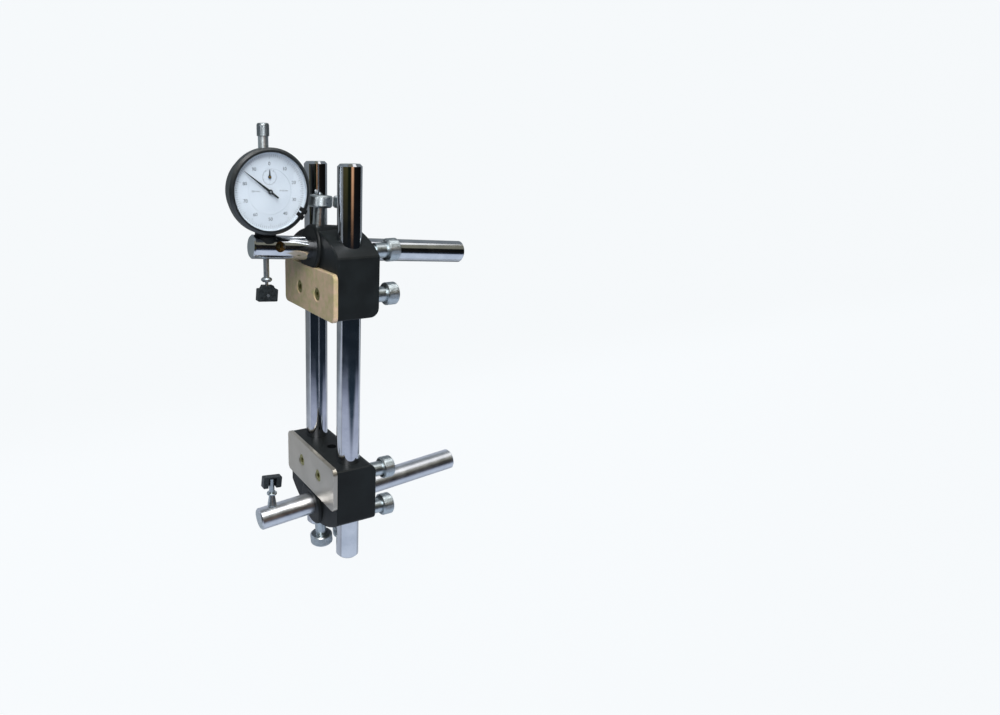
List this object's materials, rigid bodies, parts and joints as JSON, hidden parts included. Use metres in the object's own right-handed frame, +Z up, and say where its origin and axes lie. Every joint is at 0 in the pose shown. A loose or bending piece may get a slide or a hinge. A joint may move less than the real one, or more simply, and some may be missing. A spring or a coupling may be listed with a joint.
{
  "type": "thread pitch diameter gauge",
  "caption": "Comparator gauge with sliding blocks on round columns, tilted arms, a dial indicator and a fixed contact, for comparing pitch diameters.",
  "frame": {"origin": "middle of the end face that the indicator's block rests on", "axes": "+Z up, away from the resting end faces and towards the dial face; +Y up the columns towards the dial; +X along the arms to their free ends"},
  "size_m": [0.179, 0.3016, 0.08],
  "materials": {
    "chrome_bar": "polished hard chrome on ground steel bar",
    "black_block": "satin black enamel on a machined casting",
    "ground_steel": "surface ground hardened steel",
    "socket_screw": "plain steel screw",
    "nickel_screw": "nickel plated turned steel, knurled rims",
    "black_case": "gloss black enamel on a turned case",
    "clear_crystal": "clear flat crystal",
    "white_dial": "matt white printed dial",
    "black_plastic": "moulded black plastic",
    "steel_spindle": "ground stainless steel",
    "movement_brass": "turned and hobbed brass",
    "black_hand": "blackened sheet steel",
    "black_shoe": "oil blackened steel"
  },
  "bodies": {
    "columns": {"column_dial_side": "chrome_bar", "column_rest_side": "chrome_bar"},
    "indicator_carriage": {"indicator_block": "black_block", "indicator_rest_plate": "ground_steel", "indicator_plate_screws": "socket_screw"},
    "anvil_carriage": {"anvil_block": "black_block", "anvil_rest_plate": "ground_steel", "anvil_plate_screws": "socket_screw"},
    "indicator_unit": {"indicator_arm": "chrome_bar", "indicator_stem": "steel_spindle", "stem_foot": "black_block", "stem_clamp_cotter": "movement_brass", "stem_clamp_screw": "socket_screw", "dial_case": "black_case", "case_back_cover": "black_case", "back_cover_screws": "socket_screw", "bezel_lock_screw": "nickel_screw", "spindle_tube": "nickel_screw", "spindle_cap": "nickel_screw", "movement_bridge": "movement_brass", "bridge_screws": "socket_screw", "dial_centre": "white_dial"},
    "anvil_unit": {"anvil_arm": "chrome_bar", "anvil_post": "nickel_screw", "anvil_post_nut": "nickel_screw"},
    "spindle": {"spindle": "steel_spindle"},
    "indicator_foot": {"indicator_shoe": "black_shoe", "indicator_shoe_pin": "steel_spindle"},
    "anvil_foot": {"anvil_shoe": "black_shoe", "anvil_shoe_pin": "steel_spindle"},
    "bezel_ring": {"bezel": "black_case", "crystal": "clear_crystal", "crystal_ring": "white_dial", "dial_plate": "white_dial"},
    "marker_low": {"limit_marker_low": "black_plastic"},
    "marker_high": {"limit_marker_high": "black_plastic"},
    "rack_arbor": {"rack_pinion_wheel": "movement_brass"},
    "centre_arbor": {"centre_pinion": "steel_spindle", "main_hand": "black_hand"},
    "counter_arbor": {"counter_wheel": "movement_brass", "small_hand": "black_hand"},
    "indicator_arm_knob_front": {"indicator_arm_screw_front": "nickel_screw"},
    "indicator_arm_knob_rear": {"indicator_arm_screw_rear": "nickel_screw"},
    "indicator_column_knob_dial_side_inner": {"indicator_column_screw_dial_side_inner": "nickel_screw"},
    "indicator_column_knob_dial_side_outer": {"indicator_column_screw_dial_side_outer": "nickel_screw"},
    "indicator_column_knob_rest_side_outer": {"indicator_column_screw_rest_side_outer": "nickel_screw"},
    "anvil_arm_knob_front": {"anvil_arm_screw_front": "nickel_screw"},
    "anvil_arm_knob_rear": {"anvil_arm_screw_rear": "nickel_screw"},
    "anvil_column_knob_dial_side_inner": {"anvil_column_screw_dial_side_inner": "nickel_screw"},
    "anvil_column_knob_dial_side_outer": {"anvil_column_screw_dial_side_outer": "nickel_screw"},
    "anvil_column_knob_rest_side_outer": {"anvil_column_screw_rest_side_outer": "nickel_screw"}
  },
  "joints": [
    {"name": "indicator_block_slide", "type": "slide", "parent": "columns", "child": "indicator_carriage", "axis": [0, 1, 0], "range_m": [-0.09, 0.04]},
    {"name": "anvil_block_slide", "type": "slide", "parent": "columns", "child": "anvil_carriage", "axis": [0, 1, 0], "range_m": [-0.02, 0.09]},
    {"name": "indicator_arm_slide", "type": "slide", "parent": "indicator_carriage", "child": "indicator_unit", "axis": [0.9966, -0.083, 0], "range_m": [-0.08, 0.001]},
    {"name": "anvil_arm_slide", "type": "slide", "parent": "anvil_carriage", "child": "anvil_unit", "axis": [0.9966, 0.083, 0], "range_m": [-0.08, 0.016]},
    {"name": "spindle_slide", "type": "slide", "parent": "indicator_unit", "child": "spindle", "axis": [0, 1, 0], "range_m": [0, 0.01], "stiffness_N_per_m": 30, "springref_m": -0.03},
    {"name": "rack_arbor_turn", "type": "hinge", "parent": "indicator_unit", "child": "rack_arbor", "pos_m": [-0.05043, 0.05128, 0.0437], "axis": [0, 0, 1], "range_deg": [-5, 365]},
    {"name": "main_hand_turn", "type": "hinge", "parent": "indicator_unit", "child": "centre_arbor", "pos_m": [-0.0472, 0.05958, 0.0437], "axis": [0, 0, 1], "range_deg": [-3605, 5]},
    {"name": "small_hand_turn", "type": "hinge", "parent": "indicator_unit", "child": "counter_arbor", "pos_m": [-0.0472, 0.06849, 0.0437], "axis": [0, 0, 1], "range_deg": [-5, 365]},
    {"name": "bezel_turn", "type": "hinge", "parent": "indicator_unit", "child": "bezel_ring", "pos_m": [-0.0472, 0.05958, 0.05], "axis": [0, 0, 1], "continuous": true},
    {"name": "low_marker_turn", "type": "hinge", "parent": "bezel_ring", "child": "marker_low", "pos_m": [-0.0472, 0.05958, 0.05], "axis": [0, 0, 1], "range_deg": [-170, 0]},
    {"name": "high_marker_turn", "type": "hinge", "parent": "bezel_ring", "child": "marker_high", "pos_m": [-0.0472, 0.05958, 0.05], "axis": [0, 0, 1], "range_deg": [0, 170]},
    {"name": "indicator_shoe_swivel", "type": "hinge", "parent": "spindle", "child": "indicator_foot", "pos_m": [-0.0472, -0.00737, 0.04], "axis": [0, 0, 1], "range_deg": [-7.24, 16.76]},
    {"name": "anvil_shoe_swivel", "type": "hinge", "parent": "anvil_unit", "child": "anvil_foot", "pos_m": [-0.0472, -0.14278, 0.04], "axis": [0, 0, 1], "range_deg": [-6, 18]},
    {"name": "indicator_arm_knob_front_turn", "type": "hinge", "parent": "indicator_carriage", "child": "indicator_arm_knob_front", "pos_m": [-0.00867, 0.05093, 0.04], "axis": [0.083, 0.9966, 0], "range_deg": [0, 180]},
    {"name": "indicator_arm_knob_rear_turn", "type": "hinge", "parent": "indicator_carriage", "child": "indicator_arm_knob_rear", "pos_m": [0.00986, 0.04938, 0.04], "axis": [0.083, 0.9966, 0], "range_deg": [0, 180]},
    {"name": "indicator_column_knob_dial_side_inner_turn", "type": "hinge", "parent": "indicator_carriage", "child": "indicator_column_knob_dial_side_inner", "pos_m": [0.03, -0.0085, 0.0658], "axis": [1, 0, 0], "range_deg": [0, 180]},
    {"name": "indicator_column_knob_dial_side_outer_turn", "type": "hinge", "parent": "indicator_carriage", "child": "indicator_column_knob_dial_side_outer", "pos_m": [0.03, 0.021, 0.0658], "axis": [1, 0, 0], "range_deg": [0, 180]},
    {"name": "indicator_column_knob_rest_side_outer_turn", "type": "hinge", "parent": "indicator_carriage", "child": "indicator_column_knob_rest_side_outer", "pos_m": [0.03, 0.021, 0.0142], "axis": [1, 0, 0], "range_deg": [0, 180]},
    {"name": "anvil_arm_knob_front_turn", "type": "hinge", "parent": "anvil_carriage", "child": "anvil_arm_knob_front", "pos_m": [-0.00867, -0.19553, 0.04], "axis": [0.083, -0.9966, 0], "range_deg": [0, 180]},
    {"name": "anvil_arm_knob_rear_turn", "type": "hinge", "parent": "anvil_carriage", "child": "anvil_arm_knob_rear", "pos_m": [0.00986, -0.19398, 0.04], "axis": [0.083, -0.9966, 0], "range_deg": [0, 180]},
    {"name": "anvil_column_knob_dial_side_inner_turn", "type": "hinge", "parent": "anvil_carriage", "child": "anvil_column_knob_dial_side_inner", "pos_m": [0.03, -0.1361, 0.0658], "axis": [1, 0, 0], "range_deg": [0, 180]},
    {"name": "anvil_column_knob_dial_side_outer_turn", "type": "hinge", "parent": "anvil_carriage", "child": "anvil_column_knob_dial_side_outer", "pos_m": [0.03, -0.1656, 0.0658], "axis": [1, 0, 0], "range_deg": [0, 180]},
    {"name": "anvil_column_knob_rest_side_outer_turn", "type": "hinge", "parent": "anvil_carriage", "child": "anvil_column_knob_rest_side_outer", "pos_m": [0.03, -0.1656, 0.0142], "axis": [1, 0, 0], "range_deg": [0, 180]}
  ],
  "couplings": [
    {"joint": "rack_arbor_turn", "follows": "spindle_slide", "rad_per_m": 628.32},
    {"joint": "main_hand_turn", "follows": "spindle_slide", "rad_per_m": -6283.2},
    {"joint": "small_hand_turn", "follows": "spindle_slide", "rad_per_m": 628.32}
  ]
}
